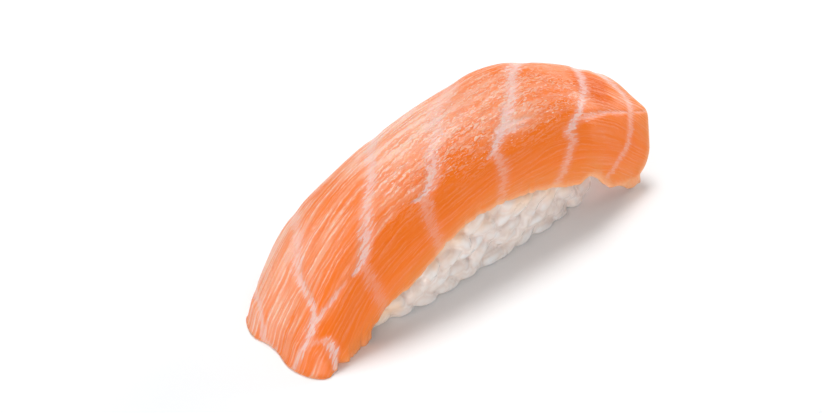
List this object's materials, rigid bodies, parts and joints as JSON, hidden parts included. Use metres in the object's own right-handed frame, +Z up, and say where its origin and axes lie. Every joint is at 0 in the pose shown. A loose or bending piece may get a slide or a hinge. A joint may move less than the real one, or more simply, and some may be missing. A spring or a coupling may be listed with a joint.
{
  "type": "salmon nigiri",
  "caption": "Salmon nigiri: a slice of raw salmon with white fat lines, draped over a pressed block of cooked rice.",
  "frame": {"origin": "middle of the bounding box at the surface that the nigiri rests on", "axes": "+X along the slice, from its low end to its high end; +Z up; -Y is the near side, which shows the rice"},
  "size_m": [0.0886, 0.0288, 0.0298],
  "materials": {
    "salmon_flesh": "wet, slightly translucent orange flesh with pale fat lines and fine fibres",
    "cooked_rice": "moist, translucent warm white grains"
  },
  "bodies": {
    "root": {"salmon_slice": "salmon_flesh", "rice_block": "cooked_rice"}
  },
  "joints": []
}
